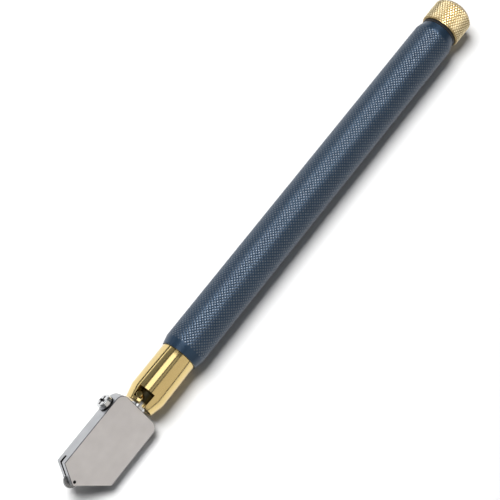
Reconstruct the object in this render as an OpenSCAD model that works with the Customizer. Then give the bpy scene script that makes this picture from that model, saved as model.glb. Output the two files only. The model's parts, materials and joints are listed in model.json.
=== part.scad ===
// Pencil-grip oil glass cutter with a wide, sprung and swivelling head.
//
// Every piece is drawn upright in tool coordinates: Z runs from the wheel's
// contact point (z = 0) up to the cap, X is the head's width (the clamp screw
// is on the -X side) and Y is its thickness (the front face is on the -Y side).
// lay_down() then turns each piece into the resting pose: along +X, cap end
// forward, with the handle and one corner of the head on the surface z = 0.

/* [Handle] */
// Diameter over the knurl, also the cap's
handle_d = 12; // [11:0.1:15]
// Length of the oil tube
handle_length = 121.8; // [90:0.1:160]
// Wall of the oil tube
handle_wall = 1.5; // [1.2:0.1:1.8]
// Depth of the bevel at the ferrule's end
lower_bevel_depth = 0.6; // [0.3:0.05:0.7]
// Length of the bevel at the ferrule's end
lower_bevel_length = 2.6; // [1:0.1:5]
// Depth of the bevel at the cap's end
upper_bevel_depth = 0.75; // [0.3:0.05:0.8]
// Length of the bevel at the cap's end
upper_bevel_length = 2.7; // [1:0.1:5]

/* [Fill cap] */
// Length of the knurled cap
cap_length = 8.4; // [6:0.1:14]
// Bevel round the cap's top
cap_bevel = 1.4; // [0.3:0.1:2]
// Bevel round the cap's lower rim
cap_rim_bevel = 0.3; // [0.1:0.05:0.6]
// Length of thread that enters the tube
cap_thread_length = 4.3; // [3:0.1:8]
// Thickness of the rubber gasket
gasket_t = 0.9; // [0.5:0.1:2]
// How far the gasket stands inside the cap's edge
gasket_inset = 0.6; // [0.3:0.05:0.7]

/* [Ferrule] */
// Length of ferrule that shows
ferrule_length = 17.25; // [14:0.05:24]
// How far the ferrule's side lies inside the handle's
ferrule_step = 0.85; // [0.7:0.05:1]
// How far the nose tapers in
nose_taper_depth = 0.95; // [0.5:0.05:1.4]
// Length of the nose's taper
nose_taper_length = 3.7; // [3:0.1:5]
// Length of the threaded spigot inside the tube
spigot_length = 9; // [7:0.1:14]

/* [Bayonet] */
// Diameter of the bayonet studs
stud_d = 1.8; // [1.2:0.1:1.8]
// Where the front stud lies, turned from the head's front face towards its screw side
stud_angle = 50.5; // [50:0.5:60]
// Where the entry slot lies, measured the same way
entry_angle = 19.5; // [10:0.5:20]
// Angle from the entry slot to the cross slot's blind end
cross_slot_overrun = 10.5; // [8:0.5:16]
// Height of the pocket's floor above the nose's end
pocket_floor = 1; // [0.6:0.1:1.4]
// Height of the land that keeps the stud in its pocket
pocket_land = 0.5; // [0.2:0.1:0.5]
// Upward travel that opens the valve
press_travel = 0.6; // [0.5:0.1:1.2]
// Swivel to each side
swivel_angle = 4; // [1:0.5:4.5]

/* [Spindle and valve] */
// Diameter of the spindle in the nose
spindle_d = 4.2; // [3.6:0.1:5]
// Oil bore up the spindle
spindle_bore_d = 1.4; // [1:0.1:1.8]
// How deep the spindle sits in the head
spindle_depth = 10.2; // [7:0.1:12]
// Thickness of the spindle's rubber ring
seal_cord = 0.9; // [0.7:0.05:1.1]
// Length of the guide bush
bush_length = 1.6; // [1:0.1:3]
// Wire diameter of the return spring
spring_wire = 0.5; // [0.3:0.05:0.6]
// Fitted length of the return spring
spring_length = 7; // [5:0.1:10]
// Turns of the return spring
spring_turns = 6; // [4:1:8]
// Diameter of the valve's stem
stem_d = 1.8; // [1.4:0.1:2]
// Oil gap round the stem in the valve's seat
seat_gap = 0.4; // [0.2:0.05:0.6]
// Length of the valve's seat
seat_length = 3.5; // [2:0.1:5]
// Thickness of the valve's rubber washer
valve_seal_t = 0.8; // [0.5:0.1:1.5]
// Height of the valve's nut
nut_h = 1.6; // [1:0.1:3]
// Diameter of the wick
wick_d = 1; // [0.6:0.1:1.1]

/* [Head] */
// Width of the head
head_w = 14.7; // [12:0.1:20]
// Thickness of the head
head_t = 4.6; // [4.4:0.1:6]
// Height of the head from its tip to its shoulder
head_h = 26.4; // [22:0.1:36]
// Gap between the head's shoulder and the ferrule's nose
head_gap = 0.75; // [0.7:0.05:2]
// Radius of the shoulder's corners
shoulder_r = 2.4; // [1:0.1:3]
// How far the tip trails behind the spindle's axis
trail = 1.8; // [0:0.1:3]
// Radius of the tip's rounding
tip_r = 0.7; // [0.5:0.05:1]
// How far the rounding's centre lies ahead of the axle, towards the far side
tip_ahead = 0.3; // [0:0.05:0.6]
// How far the rounding's centre lies below the axle
tip_drop = 0.3; // [0.1:0.05:0.6]
// Height of the corner on the screw side above the axle
screw_side_rise = 1.8; // [1:0.1:4]
// Height of the other corner above the axle
far_side_rise = 5.65; // [3:0.05:7]
// Distance from the shoulder to the clamp screw
screw_drop = 4.7; // [4:0.1:7]

/* [Clamp screw] */
// Diameter of the clamp screw's thread
screw_d = 2.5; // [2:0.1:3]
// Diameter of the clamp screw's head
screw_head_d = 4.2; // [3.4:0.1:4.3]
// Height of the clamp screw's head
screw_head_h = 1.45; // [0.9:0.05:2]
// Thickness of the dark washer under it
screw_washer_t = 0.55; // [0.3:0.05:0.8]

/* [Wheel] */
// Diameter of the cutting wheel
wheel_d = 4.2; // [3.5:0.1:5.5]
// Thickness of the cutting wheel
wheel_t = 0.9; // [0.7:0.05:1.2]
// Included angle of the wheel's edge, in degrees
wheel_edge_angle = 140; // [110:1:160]
// Diameter of the axle
axle_d = 0.84; // [0.6:0.02:1.2]
// How far the axle's ends lie below the head's faces
axle_recess = 0.35; // [0.1:0.05:0.8]
// How far the sawn slot runs up the head's screw side, above its corner
slot_rise = 2.2; // [1:0.1:4]

/* [Threads and clearances] */
// Pitch of the handle's threads
thread_pitch = 0.75; // [0.5:0.05:1]
// Depth of the handle's threads
thread_depth = 0.4; // [0.2:0.05:0.5]
// Radial clearance of a turning or sliding fit
running_gap = 0.04; // [0.02:0.01:0.08]
// Radial clearance of a threaded piece in its plain hole
thread_gap = 0.05; // [0.03:0.01:0.1]
// Gap on each side of the wheel in its slot
wheel_side_gap = 0.06; // [0.03:0.01:0.1]
// Gap at a rubber face that opens or turns
seal_gap = 0.02; // [0.01:0.01:0.04]

/* [Hidden] */

round_fn = 96;         // facets that OpenSCAD draws on a circle
spring_sides = 8;      // sides of the spring's wire
spring_steps = 18;     // rings in one turn of the spring
over = 0.5;            // how far a cutting shape runs past the surface it cuts
slight = 0.05;         // how far a cutting shape reaches past a surface it ends at

// Heights up the tool
axle_z = wheel_d / 2;
tip_z = axle_z - tip_drop - tip_r;
shoulder_z = tip_z + head_h;
nose_z = shoulder_z + head_gap;
handle_z0 = nose_z + ferrule_length;
handle_z1 = handle_z0 + handle_length;
cap_z0 = handle_z1 + gasket_t;
tool_length = cap_z0 + cap_length;

// Heights inside the ferrule
stud_z = nose_z + pocket_floor + stud_d / 2;
cross_slot_z0 = stud_z + stud_d / 2 - slight;
cross_slot_z1 = stud_z + stud_d / 2 + press_travel + 0.6;
seal_z = cross_slot_z1 + 2.2;
bush_z = seal_z + seal_cord;
collar_z = bush_z + bush_length + 0.9;
collar_t = 1;
washer_z = collar_z + collar_t;
washer_t = 0.5;
spring_z = washer_z + washer_t;
seat_z = spring_z + spring_length;
valve_seal_z = seat_z + seat_length + seal_gap;
nut_z = valve_seal_z + valve_seal_t;
stem_top_z = nut_z + nut_h + 0.4;
port_z = washer_z + 2;
port_d = 1;
spindle_z0 = shoulder_z - spindle_depth;
neck_top_z = port_z + 1.4;

// Radii
handle_r = handle_d / 2;
tube_bore_r = handle_r - handle_wall;
thread_r = tube_bore_r - thread_gap;
ferrule_r = handle_r - ferrule_step;
nose_r = ferrule_r - nose_taper_depth;
stud_reach = nose_r + nose_taper_depth * (stud_z - nose_z) / nose_taper_length;
seal_groove_r = tube_bore_r - 0.65;
spindle_r = spindle_d / 2;
neck_r = spindle_r - 0.5;
stem_r = stem_d / 2;
chamber_r = spindle_r + seal_cord;
seat_r = chamber_r + 0.2;
collar_r = chamber_r - 0.2;
spring_r = chamber_r - 0.5 - spring_wire / 2;
ring_seal_z = handle_z0 + 0.45;
ring_seal_cord = tube_bore_r - seal_groove_r;

// The head
screw_z = shoulder_z - screw_drop;
screw_seat_x = -head_w / 2;
screw_tip_x = -spindle_r + 0.3;
screw_hole_r = screw_d / 2 + thread_gap;
slot_w = wheel_t + 2 * wheel_side_gap;
wheel_well_r = wheel_d / 2 + 0.35;
oil_way_r = wick_d / 2 + 0.1;
wick_z0 = axle_z + sqrt(pow(wheel_d / 2, 2) - pow(trail - wick_d / 2, 2)) + 0.2;
wick_z1 = port_z - 1;
oil_way_z0 = wick_z0 - 0.7;

// The resting pose: the roll at which a back corner of the head meets the surface
rest_gap = 0.04;       // height of the head's corner above the surface
corner_reach = norm([head_w, head_t]) / 2;
roll = asin(min(1, (handle_r - rest_gap) / corner_reach)) - atan2(head_t, head_w);

module lay_down() {
    translate([-tool_length / 2, 0, handle_r])
        rotate([roll - 90, 0, 0])
            rotate([0, 90, 0])
                children();
}

// A tube or, with no bore, a rod
module barrel(r, h, bore = 0) {
    difference() {
        cylinder(r = r, h = h, $fn = round_fn);
        if (bore > 0)
            translate([0, 0, -over]) cylinder(r = bore, h = h + 2 * over, $fn = round_fn);
    }
}

// A rod whose side carries the crests and roots of a thread
module threaded_rod(r, depth, pitch, h) {
    turns = floor(h / pitch);
    run_out = (h - turns * pitch) / 2;
    flanks = [for (i = [0:turns - 1]) each [
        [r - depth, run_out + i * pitch],
        [r, run_out + (i + 0.5) * pitch]
    ]];
    rotate_extrude($fn = round_fn)
        polygon(concat([[0, 0], [r - depth, 0]], flanks,
                       [[r - depth, h - run_out], [r - depth, h], [0, h]]));
}

// A rubber ring of round section, standing on z = 0
module ring_seal(inner_r, cord) {
    translate([0, 0, cord / 2])
        rotate_extrude($fn = round_fn)
            translate([inner_r + cord / 2, 0]) circle(d = cord, $fn = 32);
}

// Turns a shape drawn along -Y to an angle measured from the head's front face
// towards its screw side, and repeats it half a turn away
module both_sides(angle) {
    for (turn = [0, 180])
        rotate([0, 0, -angle + turn]) children();
}

// ---------------------------------------------------------------- handle

module handle_tube() {
    color("#2f4d68") difference() {
        rotate_extrude($fn = round_fn)
            polygon([
                [0, handle_z0],
                [handle_r - lower_bevel_depth, handle_z0],
                [handle_r, handle_z0 + lower_bevel_length],
                [handle_r, handle_z1 - upper_bevel_length],
                [handle_r - upper_bevel_depth, handle_z1],
                [0, handle_z1]
            ]);
        translate([0, 0, handle_z0 - over])
            cylinder(r = tube_bore_r, h = handle_length + 2 * over, $fn = round_fn);
    }
}

module cap_gasket() {
    color("#151515") translate([0, 0, handle_z1])
        barrel(handle_r - gasket_inset, gasket_t, tube_bore_r);
}

module fill_cap() {
    plug_length = cap_thread_length + gasket_t;
    color("#c8a548") union() {
        translate([0, 0, cap_z0]) rotate_extrude($fn = round_fn)
            polygon([
                [0, 0],
                [handle_r - cap_rim_bevel, 0],
                [handle_r, cap_rim_bevel],
                [handle_r, cap_length - cap_bevel],
                [handle_r - cap_bevel, cap_length],
                [0, cap_length]
            ]);
        translate([0, 0, cap_z0 - plug_length])
            threaded_rod(thread_r, thread_depth, thread_pitch, plug_length);
    }
}

// ---------------------------------------------------------------- ferrule

module ferrule_outside() {
    threads_z = ring_seal_z + ring_seal_cord + 0.5;
    union() {
        rotate_extrude($fn = round_fn)
            polygon([
                [0, nose_z],
                [nose_r, nose_z],
                [ferrule_r, nose_z + nose_taper_length],
                [ferrule_r, handle_z0],
                [seal_groove_r, handle_z0],
                [seal_groove_r, threads_z],
                [0, threads_z]
            ]);
        translate([0, 0, threads_z])
            threaded_rod(thread_r, thread_depth, thread_pitch, handle_z0 + spigot_length - threads_z);
    }
}

// A wedge of the ferrule's wall between two angles and two heights, on both sides
module wall_wedge(angle_0, angle_1, z0, z1) {
    steps = 6;
    wedge_r = ferrule_r + over;
    both_sides(0) translate([0, 0, z0])
        linear_extrude(z1 - z0)
            polygon([[0, 0],
                     for (i = [0:steps]) let (a = angle_0 + (angle_1 - angle_0) * i / steps)
                         wedge_r * [-sin(a), -cos(a)]]);
}

// The stepped slot that a stud enters, crosses and drops into. Its three parts end
// at slightly different heights, so that no two of their faces lie in one plane.
module bayonet_slot() {
    entry_w = stud_d + 2 * running_gap;
    pocket_w = stud_d + 2 * (stud_reach * sin(swivel_angle) + running_gap);
    pocket_z = nose_z + pocket_floor - running_gap;
    land_z = nose_z + pocket_floor + pocket_land;
    entry_top_z = cross_slot_z1 - slight / 2;
    wedge_top_z = cross_slot_z1 - slight;
    reach = ferrule_r + over;
    // pocket
    both_sides(stud_angle)
        translate([-pocket_w / 2, -reach, pocket_z])
            cube([pocket_w, reach, cross_slot_z1 - pocket_z]);
    // entry, open at the nose
    both_sides(entry_angle)
        translate([-entry_w / 2, -reach, nose_z - over])
            cube([entry_w, reach, entry_top_z - nose_z + over]);
    // way over the land, and the cross slot from the pocket past the entry
    wall_wedge(stud_angle, entry_angle, land_z, cross_slot_z0 + slight);
    wall_wedge(stud_angle, entry_angle - cross_slot_overrun, cross_slot_z0, wedge_top_z);
}

module ferrule() {
    top_z = handle_z0 + spigot_length;
    color("#d8b44c") difference() {
        ferrule_outside();
        translate([0, 0, nose_z - over])
            cylinder(r = spindle_r + running_gap, h = seal_z - nose_z + 2 * over, $fn = round_fn);
        translate([0, 0, seal_z])
            cylinder(r = chamber_r, h = top_z - seal_z + over, $fn = round_fn);
        translate([0, 0, seat_z])
            cylinder(r = seat_r, h = top_z - seat_z + over, $fn = round_fn);
        bayonet_slot();
    }
}

module ferrule_seal() {
    color("#151515") translate([0, 0, ring_seal_z])
        ring_seal(seal_groove_r, ring_seal_cord);
}

module spindle_seal() {
    color("#151515") translate([0, 0, seal_z])
        ring_seal(spindle_r + seal_gap, seal_cord - seal_gap);
}

module guide_bush() {
    color("#b8923c") translate([0, 0, bush_z])
        barrel(chamber_r, bush_length, spindle_r + running_gap);
}

module valve_seat() {
    color("#b8923c") translate([0, 0, seat_z])
        barrel(seat_r, seat_length, stem_r + seat_gap);
}

// ---------------------------------------------------------------- spindle

module thrust_washer() {
    color("#b9bcc0") translate([0, 0, washer_z])
        barrel(collar_r, washer_t, neck_r + running_gap);
}

// Height of the wire's centre after a number of turns, closed up at both ends
function coil_height(turn) =
    let (free = spring_length - 3 * spring_wire,
         share = min(1, max(0, (turn - 1) / (spring_turns - 2))))
    spring_wire / 2 + min(turn, 1) * spring_wire + share * free
        + max(0, turn - (spring_turns - 1)) * spring_wire;

module return_spring() {
    rings = spring_turns * spring_steps;
    centre_r = spring_r;
    wire_points = [
        for (i = [0:rings], k = [0:spring_sides - 1])
            let (turn = i / spring_steps,
                 a = 360 * k / spring_sides,
                 r = centre_r + spring_wire / 2 * cos(a))
            [r * cos(360 * turn), r * sin(360 * turn),
             coil_height(turn) + spring_wire / 2 * sin(a)]
    ];
    sides = [
        for (i = [0:rings - 1], k = [0:spring_sides - 1])
            let (a = i * spring_sides + k,
                 b = i * spring_sides + (k + 1) % spring_sides)
            [a, a + spring_sides, b + spring_sides, b]
    ];
    first_end = [for (k = [0:spring_sides - 1]) k];
    last_end = [for (k = [spring_sides - 1:-1:0]) rings * spring_sides + k];
    color("#a9adb2") translate([0, 0, spring_z])
        polyhedron(points = wire_points, faces = concat([first_end, last_end], sides), convexity = 10);
}

module spindle() {
    color("#c4c7ca") difference() {
        union() {
            translate([0, 0, spindle_z0]) barrel(spindle_r, collar_z - spindle_z0);
            translate([0, 0, collar_z]) barrel(collar_r, collar_t);
            translate([0, 0, collar_z]) barrel(neck_r, neck_top_z - collar_z);
            translate([0, 0, collar_z]) barrel(stem_r, stem_top_z - collar_z);
        }
        translate([0, 0, spindle_z0 - over])
            cylinder(d = spindle_bore_d, h = port_z - spindle_z0 + over, $fn = round_fn);
        // oil ports from the spring chamber into the bore
        translate([0, 0, port_z]) rotate([90, 0, 0])
            cylinder(d = port_d, h = 2 * chamber_r, center = true, $fn = 48);
        // flat for the clamp screw
        translate([-spindle_r - over, -spindle_r - over, screw_z - screw_d / 2 - 0.3])
            cube([screw_tip_x + spindle_r + over, 2 * (spindle_r + over), screw_d + 0.6]);
        stud_holes();
    }
}

// Places what follows along each stud, from the spindle outwards
module along_studs() {
    for (turn = [0, 180])
        translate([0, 0, stud_z]) rotate([0, 0, -stud_angle + turn]) rotate([90, 0, 0])
            translate([0, 0, spindle_bore_d / 2 + 0.4]) children();
}

module stud_holes() {
    along_studs() cylinder(d = stud_d, h = spindle_r, $fn = 48);
}

module bayonet_studs() {
    stud_length = stud_reach - spindle_bore_d / 2 - 0.4;
    rim = 0.15;
    color("#d8b44c") along_studs() union() {
        cylinder(d = stud_d, h = stud_length - rim, $fn = 48);
        translate([0, 0, stud_length - rim])
            cylinder(r1 = stud_d / 2, r2 = stud_d / 2 - rim, h = rim, $fn = 48);
    }
}

module valve_seal() {
    color("#202020") translate([0, 0, valve_seal_z])
        barrel(stem_r + seat_gap + 1, valve_seal_t, stem_r);
}

module valve_nut() {
    color("#c8a548") translate([0, 0, nut_z]) difference() {
        cylinder(r = stem_r + 1.3, h = nut_h, $fn = 6);
        translate([0, 0, -over]) cylinder(r = stem_r, h = nut_h + 2 * over, $fn = round_fn);
    }
}

module wick() {
    color("#e9e2cf") translate([0, 0, wick_z0])
        cylinder(d = wick_d, h = wick_z1 - wick_z0, $fn = 48);
}

// ---------------------------------------------------------------- head

// Where a line from a corner of the head touches the round tip
function tip_tangent(corner, side) =
    let (centre = [tip_ahead - trail, axle_z - tip_drop],
         way = corner - centre,
         a = atan2(way.y, way.x) + side * acos(tip_r / norm(way)))
    centre + tip_r * [cos(a), sin(a)];

// The front view of the head: X across, Y up, with round shoulders and a round tip
module head_outline() {
    side = head_w / 2;
    centre_y = shoulder_z - shoulder_r;
    screw_corner = [-side, axle_z + screw_side_rise];
    far_corner = [side, axle_z + far_side_rise];
    union() {
        polygon([
            tip_tangent(screw_corner, 1),
            tip_tangent(far_corner, -1),
            far_corner,
            [side, centre_y],
            [side - shoulder_r, shoulder_z],
            [-side + shoulder_r, shoulder_z],
            [-side, centre_y],
            screw_corner
        ]);
        translate([tip_ahead - trail, axle_z - tip_drop]) circle(r = tip_r, $fn = round_fn);
        for (s = [-1, 1])
            translate([s * (side - shoulder_r), centre_y]) circle(r = shoulder_r, $fn = round_fn);
    }
}

// The slot sawn through the lower edge on the screw side, with the wheel's well at its end
module wheel_slot_outline() {
    side = head_w / 2 + over;
    well_top = axle_z + wheel_well_r;
    union() {
        polygon([
            [-side, axle_z + screw_side_rise + slot_rise],
            [-trail, well_top],
            [-trail, tip_z - over],
            [-side, tip_z - over]
        ]);
        translate([-trail, axle_z]) circle(r = wheel_well_r, $fn = round_fn);
    }
}

// Draws along +Y, centred on the head's middle plane, from an outline in X and Z
module through_thickness(t) {
    translate([0, t / 2, 0]) rotate([90, 0, 0]) linear_extrude(t) children();
}

module head_body() {
    color("#b9b8b6") difference() {
        through_thickness(head_t) head_outline();
        through_thickness(slot_w) wheel_slot_outline();
        // spindle bore and oil way
        translate([0, 0, spindle_z0])
            cylinder(r = spindle_r, h = spindle_depth + over, $fn = round_fn);
        translate([0, 0, oil_way_z0])
            cylinder(r = oil_way_r, h = spindle_z0 - oil_way_z0 + over, $fn = 48);
        // axle
        translate([-trail, 0, axle_z]) rotate([90, 0, 0])
            cylinder(d = axle_d, h = head_t + 2 * over, center = true, $fn = 48);
        // clamp screw
        translate([0, 0, screw_z]) rotate([0, -90, 0])
            cylinder(r = screw_hole_r, h = head_w / 2 + over, $fn = 48);
    }
}

module screw_washer() {
    color("#2a2a2c") translate([screw_seat_x, 0, screw_z]) rotate([0, -90, 0])
        barrel(screw_head_d / 2 + 0.1, screw_washer_t, screw_hole_r);
}

module head_screw() {
    under_head_x = screw_seat_x - screw_washer_t;
    shank = screw_tip_x - under_head_x;
    recess_w = 0.7;
    recess_depth = 0.75;
    dome = 0.45;
    color("#c9ccd0") translate([under_head_x, 0, screw_z]) rotate([0, -90, 0]) difference() {
        union() {
            rotate_extrude($fn = round_fn)
                polygon([
                    [0, 0],
                    [screw_head_d / 2, 0],
                    [screw_head_d / 2, screw_head_h - dome],
                    for (a = [15:15:75]) [
                        screw_head_d / 2 - dome * (1 - cos(a)),
                        screw_head_h - dome + dome * sin(a)
                    ],
                    [0, screw_head_h]
                ]);
            translate([0, 0, -shank]) threaded_rod(screw_d / 2, 0.22, 0.45, shank);
        }
        for (turn = [0, 90]) rotate([0, 0, turn])
            translate([-screw_head_d * 0.32, -recess_w / 2, screw_head_h - recess_depth])
                cube([screw_head_d * 0.64, recess_w, recess_depth + over]);
    }
}

module wheel_axle() {
    color("#8e9296") translate([-trail, 0, axle_z]) rotate([90, 0, 0])
        cylinder(d = axle_d, h = head_t - 2 * axle_recess, center = true, $fn = 48);
}

module cutting_wheel() {
    rim_drop = wheel_t / 2 / tan(wheel_edge_angle / 2);
    color("#7d8084") translate([-trail, 0, axle_z]) rotate([90, 0, 0])
        rotate_extrude($fn = round_fn)
            polygon([
                [axle_d / 2 + running_gap, -wheel_t / 2],
                [wheel_d / 2 - rim_drop, -wheel_t / 2],
                [wheel_d / 2, 0],
                [wheel_d / 2 - rim_drop, wheel_t / 2],
                [axle_d / 2 + running_gap, wheel_t / 2]
            ]);
}

// ---------------------------------------------------------------- nodes

lay_down() handle_tube();
lay_down() ferrule();
lay_down() ferrule_seal();
lay_down() valve_seat();
lay_down() guide_bush();
lay_down() spindle_seal();
lay_down() cap_gasket();
lay_down() fill_cap();
lay_down() thrust_washer();
lay_down() return_spring();
lay_down() spindle();
lay_down() bayonet_studs();
lay_down() valve_seal();
lay_down() valve_nut();
lay_down() wick();
lay_down() head_body();
lay_down() head_screw();
lay_down() screw_washer();
lay_down() wheel_axle();
lay_down() cutting_wheel();
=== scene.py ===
# %% [markdown]
# # A pencil-grip oil glass cutter, dressed around its CAD frame
#
# The frame holds every piece of the tool as a plain, exact solid. This lesson gives the pieces
# their finish: a diamond knurl, turned brass, a blasted steel head with its cutting wheel.
# Everything is modelled upright in millimetres, with Z along the tool and the wheel's contact
# point at z = 0, because a turned piece is easiest to spin round Z. One matrix then lays it down.

# %% Load the frame
import json
import math

import bmesh
import bpy
from mathutils import Matrix, Vector


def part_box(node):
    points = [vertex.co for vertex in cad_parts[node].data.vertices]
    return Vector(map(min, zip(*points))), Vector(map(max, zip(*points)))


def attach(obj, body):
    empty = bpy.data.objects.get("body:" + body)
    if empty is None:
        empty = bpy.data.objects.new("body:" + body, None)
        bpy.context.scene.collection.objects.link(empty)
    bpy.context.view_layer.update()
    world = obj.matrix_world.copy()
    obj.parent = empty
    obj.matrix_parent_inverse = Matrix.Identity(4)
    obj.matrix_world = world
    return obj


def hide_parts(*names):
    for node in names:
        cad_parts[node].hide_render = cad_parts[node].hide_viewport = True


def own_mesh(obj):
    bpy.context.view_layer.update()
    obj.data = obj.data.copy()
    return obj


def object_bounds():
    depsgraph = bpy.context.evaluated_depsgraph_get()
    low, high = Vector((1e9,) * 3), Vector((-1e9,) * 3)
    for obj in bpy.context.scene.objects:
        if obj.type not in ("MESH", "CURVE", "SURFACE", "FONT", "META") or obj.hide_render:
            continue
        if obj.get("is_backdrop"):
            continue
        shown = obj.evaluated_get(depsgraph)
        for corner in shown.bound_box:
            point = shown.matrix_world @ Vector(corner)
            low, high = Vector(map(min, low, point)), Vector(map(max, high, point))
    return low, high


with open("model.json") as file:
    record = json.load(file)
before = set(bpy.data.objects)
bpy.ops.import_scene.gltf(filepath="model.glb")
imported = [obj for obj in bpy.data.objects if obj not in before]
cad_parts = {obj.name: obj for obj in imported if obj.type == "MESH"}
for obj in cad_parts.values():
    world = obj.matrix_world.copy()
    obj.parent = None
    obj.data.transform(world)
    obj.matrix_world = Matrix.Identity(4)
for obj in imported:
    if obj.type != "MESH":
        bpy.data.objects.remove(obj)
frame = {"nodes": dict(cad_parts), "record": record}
cad_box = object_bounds()
mounts = {m["name"]: m for m in frame["record"]["mounts"]}

# %% [markdown]
# ## From upright millimetres to the resting pose
#
# The tool lies on its handle and on one corner of its head, so it is rolled about its own axis.
# The roll is read from the head's front face, and the other sizes from the frame's boxes, so a
# piece made here lands exactly where its solid is.

# %% Lay a piece down
MM = 0.001
tool_length = (cad_box[1].x - cad_box[0].x) / MM
handle_r = mounts["grip"]["dims"]["r_mm"]
face_normal = Vector(mounts["guide_face"]["axis"])
roll = math.atan2(-face_normal.y, face_normal.z)
LAY = (
    Matrix.Translation((-tool_length / 2 * MM, 0, handle_r * MM))
    @ Matrix.Rotation(roll - math.pi / 2, 4, "X")
    @ Matrix.Rotation(math.pi / 2, 4, "Y")
    @ Matrix.Scale(MM, 4)
)


def heights(node):
    """Lowest and highest point of a node along the tool, in millimetres."""
    low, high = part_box(node)
    return low.x / MM + tool_length / 2, high.x / MM + tool_length / 2


def outer_radius(node):
    """Radius of a node that is turned round the tool's axis, in millimetres."""
    low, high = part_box(node)
    return (high.y - low.y) / 2 / MM


print("length", round(tool_length, 2), "roll", round(math.degrees(roll), 2))

# %% [markdown]
# ## Camera
#
# A long lens looks down on the tool from over the head's end, with the tool running from the
# lower left to the upper right. The camera is placed from the tool itself: how far it stands
# from the axis, where the foot of that line is, how far it leans towards the cap, and its turn.

# %% Where the camera stands
view_from_axis = 404.0
view_foot = -43.4
view_lean = math.radians(17.1)
view_turn = math.radians(26.9)
view_side_step = 2.94
tool_slant = math.radians(38.91)

along = Vector((1, 0, 0))
outwards = Vector((0, math.sin(view_turn - roll), math.cos(view_turn - roll)))
looking = -outwards * math.cos(view_lean) + along * math.sin(view_lean)
tool_up = along * math.cos(view_lean) + outwards * math.sin(view_lean)
tool_right = looking.cross(tool_up)
cam_up = tool_up * math.cos(tool_slant) - tool_right * math.sin(tool_slant)
cam_right = tool_up * math.sin(tool_slant) + tool_right * math.cos(tool_slant)
foot = Vector(((view_foot - tool_length / 2) * MM, 0, handle_r * MM))
eye = foot + outwards * view_from_axis * MM - tool_right * view_side_step * MM
print("camera stands at", tuple(round(v, 3) for v in eye))

# %% [markdown]
# A camera looks down its own -Z, with its X to the right and its Y up. Three such directions and
# a place make its matrix. Panels of light are placed in the same way later, and every mesh needs
# an object in the scene too, so both steps are helpers.


# %% Camera
def show(name, data):
    """A new object in the scene that holds a mesh, a light or a camera."""
    shown = bpy.data.objects.new(name, data)
    bpy.context.scene.collection.objects.link(shown)
    return shown


def placed(right, up, back, place):
    """The matrix of a camera or light that looks against `back` from a place."""
    return Matrix((
        (right[0], up[0], back[0], place[0]),
        (right[1], up[1], back[1], place[1]),
        (right[2], up[2], back[2], place[2]),
        (0, 0, 0, 1),
    ))


camera_data = bpy.data.cameras.new("camera")
camera_data.lens = 111.6
camera_data.sensor_width = 36.0
camera_data.clip_start = 0.01
camera = show("camera", camera_data)
camera.matrix_world = placed(cam_right, cam_up, -looking, eye)
bpy.context.scene.camera = camera
print("camera lens:", camera_data.lens, "mm")

# %% [markdown]
# ## Finishes
#
# A finish starts as a Principled shader with its plain values. More nodes are then wired in for
# whatever changes over the surface. Small helpers keep that short: one makes the material, one
# adds a node with its inputs, and one wires an output to the shader. The last one turns a drawn
# mesh into mesh data that carries its materials.


# %% Shader and nodes
def finish(name, colour, roughness, metallic=0.0, coat=0.0):
    """A new material with its Principled shader's plain values."""
    material = bpy.data.materials.new(name)
    material.use_nodes = True
    shader = material.node_tree.nodes["Principled BSDF"]
    shader.inputs["Base Color"].default_value = (*colour, 1)
    shader.inputs["Roughness"].default_value = roughness
    shader.inputs["Metallic"].default_value = metallic
    shader.inputs["Coat Weight"].default_value = coat
    shader.inputs["Coat Roughness"].default_value = 0.12
    return material


def add(material, kind, sockets=None, **settings):
    """Adds a node. A socket's value is another node's output, or a constant."""
    made = material.node_tree.nodes.new(kind)
    for key, value in settings.items():
        setattr(made, key, value)
    for key, value in (sockets or {}).items():
        if isinstance(value, bpy.types.NodeSocket):
            material.node_tree.links.new(value, made.inputs[key])
        else:
            made.inputs[key].default_value = value
    return made


def wire(material, output, socket):
    """Links an output to an input of the Principled shader."""
    shader = material.node_tree.nodes["Principled BSDF"]
    material.node_tree.links.new(output, shader.inputs[socket])


def mesh_of(name, bm, *materials):
    """A mesh datablock from a bmesh, which is used up."""
    mesh = bpy.data.meshes.new(name)
    bm.to_mesh(mesh)
    bm.free()
    for material in materials:
        mesh.materials.append(material)
    return mesh


print("shader helpers ready")

# %% [markdown]
# ## Floor
#
# The tool lies on a pale matt sheet.

# %% Floor
bpy.context.scene.view_settings.view_transform = "Standard"
floor_paint = finish("pale_floor", (0.9, 0.9, 0.9), 0.9)
floor_paint.node_tree.nodes["Principled BSDF"].inputs["Specular IOR Level"].default_value = 0.1
floor_bm = bmesh.new()
bmesh.ops.create_grid(floor_bm, x_segments=1, y_segments=1, size=3.0)
floor = show("floor", mesh_of("floor", floor_bm, floor_paint))
floor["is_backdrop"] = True
print("floor:", tuple(round(v, 2) for v in floor.dimensions[:2]), "m")

# %% [markdown]
# ## Paper round the floor
#
# The lights are near the tool, so the floor would fade to grey far behind it. A studio has
# white paper there that curves up into a wall. This one glows and fades in away from the tool.
# The camera alone sees it, so it neither lights the tool nor shows in the brass.

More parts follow.
